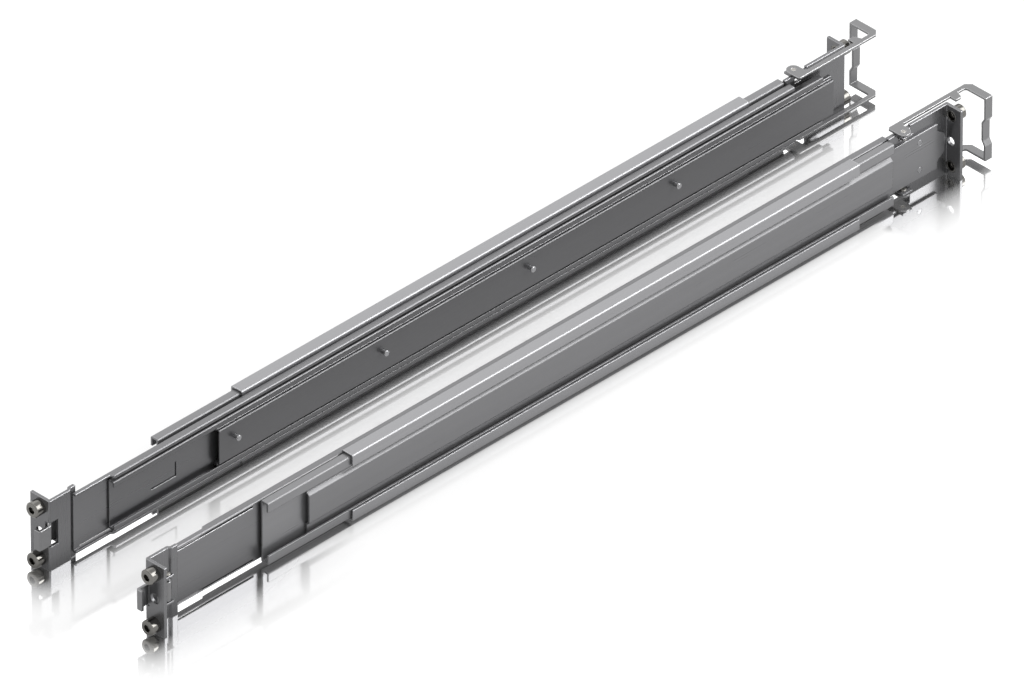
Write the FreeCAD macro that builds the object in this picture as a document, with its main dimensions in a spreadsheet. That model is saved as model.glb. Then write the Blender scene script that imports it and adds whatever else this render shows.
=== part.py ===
"""Sliding server rail pair: two four-post rack rails, right and left, as separate sheet-metal pieces.

Each rail is modelled once, for the right side, in its own coordinates: X runs outward from the plane
of the front bracket's web, Y runs rearward from the front bracket's front face, and Z runs up from the
bracket's bottom edge. The left rail is the mirror image of the right one.
"""
import FreeCAD, Part
import math
import os
import Sketcher

os.makedirs("parts", exist_ok=True)
doc = FreeCAD.newDocument("ServerRails")
sheet = doc.addObject("Spreadsheet::Sheet", "Sizes")

# Driving dimensions in millimetres, by alias
SIZES = {
    # The pair and the rack it fits
    "pair_gap": 70.0,
    "bracket_margin": 11.85,
    "hole_pitch": 15.875,
    "pin_line": 7.0,
    # Front bracket
    "bracket_wall": 1.8,
    "flange_width": 13.9,
    "front_web_length": 15.2,
    "front_lip_length": 2.6,
    "middle_hole": 6.0,
    "window_spare": 3.0,
    "window_reach": 6.4,
    "window_width": 3.0,
    # Locating pins
    "pin_size": 8.8,
    "pin_reach": 6.0,
    "pin_neck": 5.0,
    "pin_tail": 6.8,
    "pin_edge": 0.7,
    "socket_size": 4.0,
    "socket_depth": 2.6,
    "thread_bore": 5.0,
    "rear_pin_size": 8.2,
    "thread_depth": 2.8,
    # Front latch
    "latch_wall": 1.5,
    "latch_height": 12.2,
    "latch_clear": 0.2,
    "catch_gap": 5.4,
    "catch_reach": 4.3,
    "front_pivot_back": 9.5,
    "front_pivot_out": 5.8,
    "pivot_size": 2.5,
    "pivot_play": 0.05,
    "barrel_wall": 1.1,
    "lug_wall": 1.3,
    "lug_gap": 2.6,
    # Ball slide: outer, middle and inner member
    "slide_play": 0.2,
    "outer_web_out": 1.4,
    "outer_wall": 1.2,
    "outer_height": 37.0,
    "outer_reach": 4.8,
    "outer_lip": 2.2,
    "outer_start": 17.4,
    "outer_past": 2.0,
    "narrow_reach": 1.9,
    "narrow_end": 44.0,
    "slit_start": 21.5,
    "slit_end": 76.0,
    "slit_height": 1.3,
    "middle_wall": 0.9,
    "middle_depth": 4.3,
    "middle_lip": 3.1,
    "middle_start": 42.0,
    "middle_past": 22.0,
    "inner_wall": 0.9,
    "inner_proud": 0.9,
    "race_width": 2.1,
    "race_rise": 1.75,
    "inner_start": 117.0,
    "inner_past": 7.0,
    "bend": 1.1,
    "middle_bend": 1.3,
    # Balls and cages
    "ball_size": 1.8,
    "ball_play": 0.1,
    "ball_step": 40.0,
    "ball_count": 5,
    "cage_wall": 0.6,
    "outer_cage_start": 200.0,
    "inner_cage_start": 215.0,
    "cage_margin": 8.0,
    # Guide channel, sleeve and rear rail
    "sleeve_wall": 1.1,
    "sleeve_height": 41.6,
    "sleeve_depth": 8.1,
    "sleeve_lip": 6.9,
    "sleeve_start": 140.0,
    "sleeve_short": 27.0,
    "guide_wall": 1.2,
    "nest_play": 0.25,
    "guide_lip": 5.8,
    "guide_start": 80.5,
    "guide_end": 538.0,
    "rear_wall": 1.4,
    "rear_play": 0.85,
    "rear_step": 1.9,
    "rear_flat": 17.0,
    "rear_slope": 1.6,
    "rear_start": 111.0,
    "rear_plate_short": 10.0,
    "rear_plate_drop": 1.1,
    "rear_tab": 5.5,
    "rear_tab_height": 19.0,
    "rear_bend": 1.2,
    # Rear bracket
    "rear_web_length": 44.8,
    "rear_rivet_back": 22.0,
    # Rear latch
    "bail_wall": 1.2,
    "bail_drop": 2.5,
    "bail_pivot_back": 9.6,
    "bail_pivot_out": 5.2,
    "ear_size": 7.8,
    "coil_wire": 0.5,
    "strap_width": 2.9,
    "strap_edge": 0.1,
    "tongue_gap": 4.4,
    "tongue_length": 4.6,
    "tongue_reach": 4.4,
    "loop_back": 16.0,
    "loop_width": 5.0,
    "bail_reach": 14.8,
    "bar_wave": 1.8,
    # Rivets and studs
    "rivet_size": 3.2,
    "rivet_head": 6.0,
    "rivet_head_rise": 0.8,
    "rivet_play": 0.05,
    "rivet_margin": 25.0,
    "rivet_count": 4,
    "stud_start": 128.1,
    "stud_step": 107.1,
    "stud_count": 4,
    "stud_size": 3.4,
    "stud_neck": 2.5,
    "stud_head": 1.1,
    "stud_reach": 3.4,
    "stud_rise": 2.4,
    "lock_start": 72.0,
    "lock_length": 18.0,
    "lock_height": 9.0,
    "lock_slit": 0.9,
}


class Size:
    """A number together with the sheet expression that gives it."""

    def __init__(self, value, text):
        self.value = value
        self.text = text

    def _join(self, other, sign, value):
        return Size(value, f"({self.text} {sign} {text_of(other)})")

    def __add__(self, other):
        return self._join(other, "+", self.value + number_of(other))

    def __sub__(self, other):
        return self._join(other, "-", self.value - number_of(other))

    def __mul__(self, other):
        return self._join(other, "*", self.value * number_of(other))

    def __truediv__(self, other):
        return self._join(other, "/", self.value / number_of(other))

    def __radd__(self, other):
        return Size(number_of(other), text_of(other)) + self

    def __rsub__(self, other):
        return Size(number_of(other), text_of(other)) - self

    def __rmul__(self, other):
        return Size(number_of(other), text_of(other)) * self

    def __neg__(self):
        return Size(-self.value, f"(0 - {self.text})")


def number_of(size):
    return size.value if isinstance(size, Size) else float(size)


def text_of(size):
    return size.text if isinstance(size, Size) else repr(float(size))


for row, (alias, value) in enumerate(SIZES.items(), start=1):
    sheet.set(f"A{row}", alias.replace("_", " "))
    sheet.set(f"B{row}", str(value))
    sheet.setAlias(f"B{row}", alias)
doc.recompute()


def get(alias):
    """The named size as a Size."""
    return Size(float(SIZES[alias]), f"Sizes.{alias}")


# Places worked out from the driving dimensions
bracket_height = 2 * get("hole_pitch") + get("bracket_margin")
mid = bracket_height / 2
wall = get("bracket_wall")
floor = Size(0.0, "0")
row = get("ball_size") + 2 * get("ball_play")
outer_height = get("outer_height")
middle_height = outer_height - 2 * (get("outer_wall") + row)
inner_height = middle_height - 2 * (get("middle_wall") + row + get("race_rise"))
sleeve_height = get("sleeve_height")
guide_height = sleeve_height - 2 * (get("sleeve_wall") + get("nest_play"))
guide_depth = get("sleeve_depth") - 2 * (get("sleeve_wall") + get("nest_play"))
rear_height = guide_height - 2 * (get("guide_wall") + get("rear_play"))
outer_out = get("outer_web_out")
outer_in = outer_out - get("outer_wall")
outer_tip = outer_out - get("outer_reach")
sleeve_in = outer_out
guide_in = sleeve_in + get("sleeve_wall")
guide_web = guide_in + get("guide_wall")
rear_in = guide_web + 0.1
rear_out = rear_in + get("rear_wall")
rear_face_in = rear_in + get("rear_step")
rear_face = rear_face_in + get("rear_wall")
middle_out = outer_in - 0.3
middle_tip = middle_out - get("middle_depth")
middle_in = middle_out - get("middle_wall")
inner_race_out = middle_in - get("slide_play")
inner_race_in = inner_race_out - get("race_width")
inner_back = middle_tip
inner_face = inner_back - get("inner_proud")

# Lengthwise places, each measured from the end of the guide channel
guide_end = get("guide_end")
outer_end = guide_end + get("outer_past")
middle_end = guide_end + get("middle_past")
inner_end = middle_end + get("inner_past")
sleeve_end = guide_end - get("sleeve_short")
rear_web_start = guide_end + 0.2
flange_back = rear_web_start + get("rear_web_length")
rear_plate_end = flange_back - get("rear_plate_short")
bail_pivot_y = guide_end + get("bail_pivot_back")
loop_start = flange_back + get("loop_back")
loop_end = loop_start + get("loop_width")
y_middle = (loop_end - get("catch_gap") - get("latch_wall")) / 2
rivet_first = get("sleeve_start") + get("rivet_margin")
rivet_step = (sleeve_end - rivet_first - get("rivet_margin")) / (SIZES["rivet_count"] - 1)

# Heights of the rear latch and the lugs it turns on
bail_top = bracket_height
bail_low = mid - middle_height / 2 - get("bail_drop")
lug_top = bail_top - get("bail_wall") - 0.2 - get("lug_wall")
lug_low = bail_low + get("bail_wall") + 0.2
rear_plate_low = lug_low + get("lug_wall") + get("rear_plate_drop")
rear_plate_top = 2 * mid - rear_plate_low


def top_of(height):
    return mid + height / 2


def bottom_of(height):
    return mid - height / 2


def bind(item, path, size):
    """Ties a property of a document object to the sheet."""
    item.setExpression(path, text_of(size))


def plane(body, role):
    return next(f for f in body.Origin.OriginFeatures if f.Role == role)


def new_body(name):
    body = doc.addObject("PartDesign::Body", name)
    body.Label = name
    body.AllowCompound = True
    bind(body, ".Placement.Base.x", get("pair_gap") / 2)
    bind(body, ".Placement.Base.y", -y_middle)
    return body


def place_sketch(body, role, name, offset):
    """A sketch on one of the body's own origin planes, moved by offset along its own axes."""
    sketch = body.newObject("Sketcher::SketchObject", name)
    sketch.AttachmentSupport = [(plane(body, role), "")]
    sketch.MapMode = "FlatFace"
    start = [number_of(o) for o in offset]
    sketch.AttachmentOffset = FreeCAD.Placement(FreeCAD.Vector(*start), FreeCAD.Rotation())
    for axis, size in zip("xyz", offset):
        if isinstance(size, Size):
            bind(sketch, f".AttachmentOffset.Base.{axis}", size)
    return sketch


def add_outline(sketch, points):
    """A closed outline of straight lines, each corner tied to the sheet."""
    corners = [FreeCAD.Vector(number_of(x), number_of(y), 0) for x, y in points]
    first = sketch.GeometryCount
    count = len(corners)
    for i in range(count):
        sketch.addGeometry(Part.LineSegment(corners[i], corners[(i + 1) % count]), False)
    joints = [
        Sketcher.Constraint("Coincident", first + i, 2, first + (i + 1) % count, 1) for i in range(count)
    ]
    sketch.addConstraint(joints)
    for i, pair in enumerate(points):
        for kind, size in zip(("DistanceX", "DistanceY"), pair):
            index = sketch.addConstraint(
                Sketcher.Constraint(kind, -1, 1, first + i, 1, number_of(size))
            )
            bind(sketch, f"Constraints[{index}]", size)


def add_circle(sketch, x, y, diameter):
    """A circle tied to the sheet by its centre and diameter."""
    centre = FreeCAD.Vector(number_of(x), number_of(y), 0)
    up = FreeCAD.Vector(0, 0, 1)
    index = sketch.addGeometry(Part.Circle(centre, up, number_of(diameter) / 2), False)
    for kind, size in (("DistanceX", x), ("DistanceY", y)):
        tie = sketch.addConstraint(Sketcher.Constraint(kind, -1, 1, index, 3, number_of(size)))
        bind(sketch, f"Constraints[{tie}]", size)
    tie = sketch.addConstraint(Sketcher.Constraint("Diameter", index, number_of(diameter)))
    bind(sketch, f"Constraints[{tie}]", diameter)


def pad(body, sketch, length, backwards=False):
    feature = body.newObject("PartDesign::Pad", sketch.Name + "Pad")
    feature.Profile = sketch
    feature.Length = number_of(length)
    bind(feature, "Length", length)
    feature.Reversed = backwards
    return feature


def pocket(body, sketch, length, backwards=False):
    """A pocket whose cut is checked against the volume before it."""
    doc.recompute()
    before = body.Shape.Volume
    feature = body.newObject("PartDesign::Pocket", sketch.Name + "Cut")
    feature.Profile = sketch
    feature.Length = number_of(length)
    bind(feature, "Length", length)
    feature.Reversed = backwards
    doc.recompute()
    if not body.Shape.Volume < before - 1e-6:
        raise RuntimeError(f"{feature.Name} cuts nothing")
    return feature


def run_along_y(body, name, points, start, end):
    """A section in X and Z carried along Y from start to end."""
    sketch = place_sketch(body, "XZ_Plane", name, (0, 0, -start))
    add_outline(sketch, points)
    return pad(body, sketch, end - start, backwards=True)


def run_up(body, name, points, low, high):
    """A plan outline in X and Y carried up from low to high."""
    sketch = place_sketch(body, "XY_Plane", name, (0, 0, low))
    add_outline(sketch, points)
    return pad(body, sketch, high - low)


def cut_up(body, name, points, low, high):
    sketch = place_sketch(body, "XY_Plane", name, (0, 0, low))
    add_outline(sketch, points)
    return pocket(body, sketch, high - low, backwards=True)


def cut_across(body, name, points, start, end):
    """A side outline in Y and Z cut along X from start to end."""
    sketch = place_sketch(body, "YZ_Plane", name, (0, 0, start))
    add_outline(sketch, points)
    return pocket(body, sketch, end - start, backwards=True)


def holes_across(body, name, places, diameter, start, end):
    """Round holes along X at the given places in Y and Z."""
    sketch = place_sketch(body, "YZ_Plane", name, (0, 0, start))
    for y, z in places:
        add_circle(sketch, y, z, diameter)
    return pocket(body, sketch, end - start, backwards=True)


def holes_along(body, name, places, diameter, start, end):
    """Round holes along Y at the given places in X and Z."""
    sketch = place_sketch(body, "XZ_Plane", name, (0, 0, -start))
    for x, z in places:
        add_circle(sketch, x, z, diameter)
    return pocket(body, sketch, end - start)


def hole_up(body, name, x, y, diameter, low, high):
    """A round hole along Z."""
    sketch = place_sketch(body, "XY_Plane", name, (0, 0, low))
    add_circle(sketch, x, y, diameter)
    return pocket(body, sketch, high - low, backwards=True)


def turn_along_y(body, name, points, x, z):
    """A turned piece: points are distance along Y and radius, about the axis at x and z."""
    sketch = place_sketch(body, "YZ_Plane", name, (0, z, x))
    add_outline(sketch, points)
    feature = body.newObject("PartDesign::Revolution", name + "Turn")
    feature.Profile = sketch
    feature.ReferenceAxis = (sketch, ["H_Axis"])
    feature.Angle = 360.0
    return feature


def turn_along_x(body, name, points, y, z):
    """A turned piece: points are distance along X and radius, about the axis at y and z."""
    sketch = place_sketch(body, "XZ_Plane", name, (0, z, -y))
    add_outline(sketch, points)
    feature = body.newObject("PartDesign::Revolution", name + "Turn")
    feature.Profile = sketch
    feature.ReferenceAxis = (sketch, ["H_Axis"])
    feature.Angle = 360.0
    return feature


def turn_along_z(body, name, points, x, y):
    """A turned piece: points are radius and height, about the upright axis at x and y."""
    sketch = place_sketch(body, "XZ_Plane", name, (x, 0, -y))
    add_outline(sketch, points)
    feature = body.newObject("PartDesign::Revolution", name + "Turn")
    feature.Profile = sketch
    feature.ReferenceAxis = (sketch, ["V_Axis"])
    feature.Angle = 360.0
    return feature


def repeat(body, features, role, step, count):
    """Copies of features at an even step along one of the body's axes."""
    pattern = body.newObject("PartDesign::LinearPattern", features[0].Name + "Row")
    pattern.Originals = features
    pattern.Direction = (plane(body, role), [""])
    pattern.Mode = "Spacing"
    pattern.Occurrences = count
    bind(pattern, "Offset", step)
    body.Tip = pattern
    return pattern


def round_along(body, feature, corners, axes, radius):
    """Rounds the long edges of a run whose two other coordinates match one of the corners."""
    doc.recompute()
    wanted = [(number_of(u), number_of(v)) for u, v in corners]
    names = []
    for index, edge in enumerate(feature.Shape.Edges, start=1):
        ends = [(getattr(v.Point, axes[0]), getattr(v.Point, axes[1])) for v in edge.Vertexes]
        if len(ends) != 2:
            continue
        for u, v in wanted:
            if all(abs(p - u) < 1e-4 and abs(q - v) < 1e-4 for p, q in ends):
                names.append(f"Edge{index}")
    if not names:
        raise RuntimeError(f"no edges to round on {feature.Name}")
    fillet = body.newObject("PartDesign::Fillet", feature.Name + "Bends")
    fillet.Base = (feature, names)
    fillet.Radius = number_of(radius)
    bind(fillet, "Radius", radius)
    return fillet


def channel(back, tip, thick, height, lip, way):
    """The section of a lipped channel: its web at back, its lips at tip, open along way (+1 or -1)."""
    top = top_of(height)
    low = bottom_of(height)
    web = back + way * thick
    lip_face = tip - way * thick
    return [
        (back, low), (back, top), (tip, top), (tip, top - lip), (lip_face, top - lip),
        (lip_face, top - thick), (web, top - thick), (web, low + thick), (lip_face, low + thick),
        (lip_face, low + lip), (tip, low + lip), (tip, low),
    ]


def channel_corners(back, tip, height):
    return [(x, z) for x in (back, tip) for z in (top_of(height), bottom_of(height))]


def box(x0, x1, y0, y1):
    return [(x0, y0), (x1, y0), (x1, y1), (x0, y1)]


def rivet_places():
    return [rivet_first + i * rivet_step for i in range(int(SIZES["rivet_count"]))]


def outer_rail():
    """Fixed outer member of the ball slide, a lipped channel open inward."""
    body = new_body("outer_rail")
    thick = get("outer_wall")
    section = channel(outer_out, outer_tip, thick, outer_height, get("outer_lip"), -1)
    run = run_along_y(body, "OuterSection", section, get("outer_start"), outer_end)
    round_along(body, run, channel_corners(outer_out, outer_tip, outer_height), "xz", get("bend"))
    narrow = outer_out - get("outer_reach") + get("narrow_reach")
    end = get("narrow_end")
    step = get("narrow_reach")
    plan = [
        (outer_tip - 1, get("outer_start") - 1), (narrow, get("outer_start") - 1), (narrow, end - step),
        (outer_tip, end), (outer_tip - 1, end),
    ]
    cut_up(body, "OuterNarrow", plan, bottom_of(outer_height) - 1, top_of(outer_height) + 1)
    slit = get("slit_height")
    for name, low in (
        ("OuterSlitTop", top_of(outer_height) - thick - slit),
        ("OuterSlitLow", bottom_of(outer_height) + thick),
    ):
        opening = box(get("slit_start"), get("slit_end"), low, low + slit)
        cut_across(body, name, opening, outer_in - 1, outer_out + 1)
    places = [(y, mid) for y in rivet_places()]
    bore = get("rivet_size") + 2 * get("rivet_play")
    holes_across(body, "OuterRivetHoles", places, bore, outer_in - 1, outer_out + 1)
    return body


def front_bracket():
    """Front mounting bracket: a flange with pin holes, a web, a joggled lip and two latch lugs."""
    body = new_body("front_bracket")
    web_end = get("front_web_length")
    jog = outer_out
    lip_end = get("outer_start") + get("front_lip_length")
    flange = get("flange_width")
    height = bracket_height
    plan = [
        (0, 0), (flange, 0), (flange, wall), (wall, wall), (wall, web_end - 0.6),
        (outer_out + wall, web_end - 0.6 + jog), (outer_out + wall, lip_end), (outer_out, lip_end),
        (outer_out, web_end + jog), (0, web_end),
    ]
    run = run_up(body, "FrontPlan", plan, floor, height)
    corners = [(0, 0), (wall, web_end - 0.6), (outer_out + wall, web_end - 0.6 + jog), (0, web_end)]
    round_along(body, run, corners, "xy", 0.9 + 0 * wall)
    window_low = mid - 0.5 * get("latch_height") - 0.8
    window = box(-wall, get("window_width"), window_low, window_low + get("latch_height") + get("window_spare"))
    sketch = place_sketch(body, "XZ_Plane", "FrontWindow", (0, 0, wall))
    add_outline(sketch, window)
    pocket(body, sketch, wall + get("window_reach"))
    pins = [(get("pin_line"), mid + side * get("hole_pitch")) for side in (-1, 1)]
    holes_along(body, "FrontPinHoles", pins, get("pin_neck") + 0.1, -wall, 2 * wall)
    holes_along(body, "FrontMiddleHole", [(get("pin_line"), mid)], get("middle_hole"), -wall, 2 * wall)
    back = get("front_pivot_back")
    out = get("front_pivot_out")
    lug = get("lug_wall")
    latch_top = mid + get("latch_height") / 2 + get("lug_gap")
    latch_low = mid - get("latch_height") / 2 - get("latch_clear")
    half = get("pivot_size") / 2 + get("barrel_wall") + 0.4
    for name, low in (("FrontLugTop", latch_top), ("FrontLugLow", latch_low - lug)):
        run_up(body, name, box(wall - 0.2, out + half, back - half, back + half), low, low + lug)
    hole_up(body, "FrontPivotHole", out, back, get("pivot_size"), latch_low - 2 * lug, latch_top + 2 * lug)
    return body


def front_pins():
    """Two locating pins with a socket in the face, riveted into the front flange."""
    body = new_body("front_pins")
    head = get("pin_size") / 2
    edge = get("pin_edge")
    reach = get("pin_reach")
    neck = get("pin_neck") / 2
    tail = get("pin_tail") / 2
    low = mid - get("hole_pitch")
    section = [
        (-reach, 0), (-reach, head - edge), (edge - reach, head), (0, head), (0, neck), (wall, neck),
        (wall, tail), (wall + 0.7, tail), (wall + 1.3, neck), (wall + 1.3, 0),
    ]
    turned = turn_along_y(body, "FrontPin", section, get("pin_line"), low)
    depth = get("socket_depth")
    sketch = place_sketch(body, "XZ_Plane", "FrontSocket", (0, 0, reach + 1))
    across = get("socket_size") / math.sqrt(3.0)
    corners = [(math.cos(math.radians(60 * i)), math.sin(math.radians(60 * i))) for i in range(6)]
    add_outline(sketch, [(get("pin_line") + c * across, low + s * across) for c, s in corners])
    socket = pocket(body, sketch, depth + 1)
    repeat(body, [turned, socket], "Z_Axis", 2 * get("hole_pitch"), 2)
    return body


def front_latch():
    """Spring latch of the front bracket: a hooked catch ahead of the flange on a cranked arm."""
    body = new_body("front_latch")
    thick = get("latch_wall")
    inside = get("latch_clear")
    face = -get("catch_gap") - thick
    out = get("front_pivot_out")
    back = get("front_pivot_back")
    barrel = get("pivot_size") / 2 + get("barrel_wall")
    arm = out - barrel
    low = mid - get("latch_height") / 2
    high = mid + get("latch_height") / 2
    plan = [
        (inside, face), (get("catch_reach"), face), (get("catch_reach"), face + thick),
        (inside + thick, face + thick), (inside + thick, 0.4 * wall), (arm + thick, 2.3 * wall),
        (arm + thick, back), (arm, back), (arm, 2.3 * wall + 0.5), (inside, 0.4 * wall + 0.7),
    ]
    run = run_up(body, "LatchPlan", plan, low, high)
    round_along(body, run, [(inside, face)], "xy", 0.8 * thick)
    sketch = place_sketch(body, "XY_Plane", "LatchBarrel", (0, 0, low))
    add_circle(sketch, out, back, 2 * barrel)
    pad(body, sketch, high - low)
    bore = get("pivot_size") + 2 * get("pivot_play")
    hole_up(body, "LatchBore", out, back, bore, low - 1, high + 1)
    return body


def front_latch_pivot():
    """Headed pivot pin of the front latch."""
    body = new_body("front_latch_pivot")
    r = get("pivot_size") / 2
    low = mid - get("latch_height") / 2 - get("latch_clear") - get("lug_wall")
    high = mid + get("latch_height") / 2 + get("lug_gap") + get("lug_wall")
    section = [
        (0, low - 0.4), (r, low - 0.4), (r, high), (r + 0.8, high), (r + 0.8, high + 0.5),
        (r, high + 0.9), (0, high + 0.9),
    ]
    turn_along_z(body, "LatchPin", section, get("front_pivot_out"), get("front_pivot_back"))
    return body


def coil_section(inside, wire, low, turns):
    """Half section of a close-wound coil: a sleeve with one ridge for each turn."""
    points = [(inside, low)]
    for i in range(turns):
        points.append((inside + 0.6 * wire, low + i * wire))
        points.append((inside + wire, low + (i + 0.5) * wire))
    points.append((inside + 0.6 * wire, low + turns * wire))
    points.append((inside, low + turns * wire))
    return points


def front_latch_spring():
    """Close-wound torsion spring on the pivot pin, above the latch arm."""
    body = new_body("front_latch_spring")
    low = mid + get("latch_height") / 2 + 0.1
    wire = (get("lug_gap") - 0.3) / 4
    section = coil_section(get("pivot_size") / 2 + 0.15, wire, low, 4)
    turn_along_z(body, "LatchCoil", section, get("front_pivot_out"), get("front_pivot_back"))
    return body


def sleeve():
    """Outer wrap of the rail: a lipped channel open outward."""
    body = new_body("sleeve")
    thick = get("sleeve_wall")
    tip = sleeve_in + get("sleeve_depth")
    section = channel(sleeve_in, tip, thick, sleeve_height, get("sleeve_lip"), 1)
    run = run_along_y(body, "SleeveSection", section, get("sleeve_start"), sleeve_end)
    round_along(body, run, channel_corners(sleeve_in, tip, sleeve_height), "xz", get("bend"))
    places = [(y, mid) for y in rivet_places()]
    bore = get("rivet_size") + 2 * get("rivet_play")
    holes_across(body, "SleeveRivetHoles", places, bore, sleeve_in - 1, sleeve_in + thick + 1)
    return body


def guide_channel():
    """Channel that the rear rail slides in, riveted between the sleeve's lips."""
    body = new_body("guide_channel")
    thick = get("guide_wall")
    tip = guide_in + guide_depth
    section = channel(guide_in, tip, thick, guide_height, get("guide_lip"), 1)
    run = run_along_y(body, "GuideSection", section, get("guide_start"), guide_end)
    round_along(body, run, channel_corners(guide_in, tip, guide_height), "xz", get("bend"))
    places = [(y, mid) for y in rivet_places()]
    bore = get("rivet_size") + 2 * get("rivet_play")
    holes_across(body, "GuideRivetHoles", places, bore, guide_in - 1, guide_web + 1)
    return body


def rail_rivets():
    """Rivets through the webs of the outer rail, sleeve and guide channel."""
    body = new_body("rail_rivets")
    r = get("rivet_size") / 2
    head = get("rivet_head") / 2
    rise = get("rivet_head_rise")
    section = [
        (outer_in, 0), (outer_in, r), (guide_web, r), (guide_web, head), (guide_web + 0.4 * rise, head),
        (guide_web + rise, 0.6 * head), (guide_web + rise, 0),
    ]
    turned = turn_along_x(body, "RailRivet", section, rivet_first, mid)
    repeat(body, [turned], "Y_Axis", rivet_step, int(SIZES["rivet_count"]))
    return body


def rear_rail():
    """Rear adjusting rail: a plate with a raised middle band, running in the guide channel."""
    body = new_body("rear_rail")
    top = top_of(rear_height)
    low = bottom_of(rear_height)
    flat_top = mid + get("rear_flat") / 2
    flat_low = mid - get("rear_flat") / 2
    slope = get("rear_slope")
    thick = get("rear_wall")
    section = [
        (rear_in, low), (rear_out, low), (rear_out, flat_low - slope), (rear_face, flat_low),
        (rear_face, flat_top), (rear_out, flat_top + slope), (rear_out, top), (rear_in, top),
        (rear_in, flat_top + slope), (rear_face_in, flat_top), (rear_face_in, flat_low),
        (rear_in, flat_low - slope),
    ]
    run = run_along_y(body, "RearSection", section, get("rear_start"), guide_end)
    corners = [(rear_face, flat_low), (rear_face, flat_top)]
    round_along(body, run, corners, "xz", get("rear_bend"))
    closing = [
        (rear_in, flat_low - slope), (rear_face_in, flat_low), (rear_face_in, flat_top),
        (rear_in, flat_top + slope),
    ]
    run_along_y(body, "RearEndWall", closing, guide_end - thick, guide_end)
    plate = box(rear_in, rear_out, rear_plate_low, rear_plate_top)
    run_along_y(body, "RearPlate", plate, guide_end, rear_plate_end)
    half = get("rear_tab_height") / 2
    reach = rear_plate_end + get("rear_tab")
    tab = [
        (rear_plate_end, mid - half), (reach, mid - half + 4), (reach, mid + half - 4),
        (rear_plate_end, mid + half),
    ]
    sketch = place_sketch(body, "YZ_Plane", "RearTab", (0, 0, rear_in))
    add_outline(sketch, tab)
    pad(body, sketch, thick)
    bore = get("rivet_size") + 2 * get("rivet_play")
    holes_across(body, "RearRivetHoles", rear_rivet_places(), bore, rear_in - 1, rear_out + 1)
    return body


def rear_rivet_places():
    """Two rivets one above the other, through the rear rail and its bracket."""
    y = guide_end + get("rear_rivet_back")
    return [(y, mid + side * get("rear_flat") / 2) for side in (-1, 1)]


def rear_bracket():
    """Rear mounting bracket: a web behind the rear rail, a flange and two pivot lugs."""
    body = new_body("rear_bracket")
    web_in = rear_in - wall
    start = rear_web_start
    back = flange_back
    flange = get("flange_width")
    plan = [
        (web_in, start), (rear_in, start), (rear_in, back - wall), (flange, back - wall),
        (flange, back), (web_in, back),
    ]
    run = run_up(body, "RearWebPlan", plan, floor, bracket_height)
    round_along(body, run, [(web_in, back)], "xy", 0.9 + 0 * wall)
    lug = get("lug_wall")
    pivot_x = get("bail_pivot_out")
    pivot_y = bail_pivot_y
    notch_end = pivot_y + get("ear_size") / 2 + 2.6
    for name, low, high in (
        ("RearNotchTop", lug_top + lug, bracket_height + 1),
        ("RearNotchLow", floor - 1, lug_low),
    ):
        cut_across(body, name, box(start - 1, notch_end, low, high), web_in - 1, rear_in + 1)
    half = get("ear_size") / 2 - 0.4
    for name, low in (("RearLugTop", lug_top), ("RearLugLow", lug_low)):
        run_up(body, name, box(web_in, pivot_x + half, pivot_y - half, pivot_y + half), low, low + lug)
        slot = box(web_in - 1, pivot_x + 2.3, pivot_y - 2.3, pivot_y + 2.3)
        reach = 2.8 * lug
        side = lug_top - reach if name == "RearLugTop" else lug_low + lug
        cut_up(body, name + "Relief", slot, side, side + reach)
        hole_up(body, name + "Hole", pivot_x, pivot_y, get("pivot_size"), low - 0.5, low + lug + 0.5)
    pins = [(get("pin_line"), mid + side * get("hole_pitch")) for side in (-1, 1)]
    neck = get("pin_tail") + 0.1
    holes_along(body, "RearPinHoles", pins, neck, back - 2 * wall, back + wall)
    middle = [(get("pin_line"), mid)]
    holes_along(body, "RearMiddleHole", middle, get("thread_bore"), back - 2 * wall, back + wall)
    bore = get("rivet_size") + 2 * get("rivet_play")
    holes_across(body, "RearWebRivetHoles", rear_rivet_places(), bore, web_in - 1, rear_in + 1)
    return body


def rear_pins():
    """Two locating pins, each with a threaded bore that opens at the front of the rear flange."""
    body = new_body("rear_pins")
    head = get("rear_pin_size") / 2
    edge = get("pin_edge")
    back = flange_back
    tip = back + get("pin_reach")
    neck = get("pin_tail") / 2
    bore = get("thread_bore") / 2
    bottom = back - wall + get("thread_depth")
    section = [
        (back - wall, bore), (back - wall, neck), (back, neck), (back, head), (tip - edge, head),
        (tip, head - edge), (tip, 0), (bottom, 0), (bottom, bore),
    ]
    turned = turn_along_y(body, "RearPin", section, get("pin_line"), mid - get("hole_pitch"))
    repeat(body, [turned], "Z_Axis", 2 * get("hole_pitch"), 2)
    return body


def rear_rivets():
    """Flush rivets that hold the rear bracket to the rear rail."""
    body = new_body("rear_rivets")
    r = get("rivet_size") / 2
    section = [(rear_in - wall, 0), (rear_in - wall, r), (rear_out, r), (rear_out, 0)]
    y, z = rear_rivet_places()[0]
    turned = turn_along_x(body, "RearRivet", section, y, z)
    repeat(body, [turned], "Z_Axis", get("rear_flat"), 2)
    return body


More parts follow.
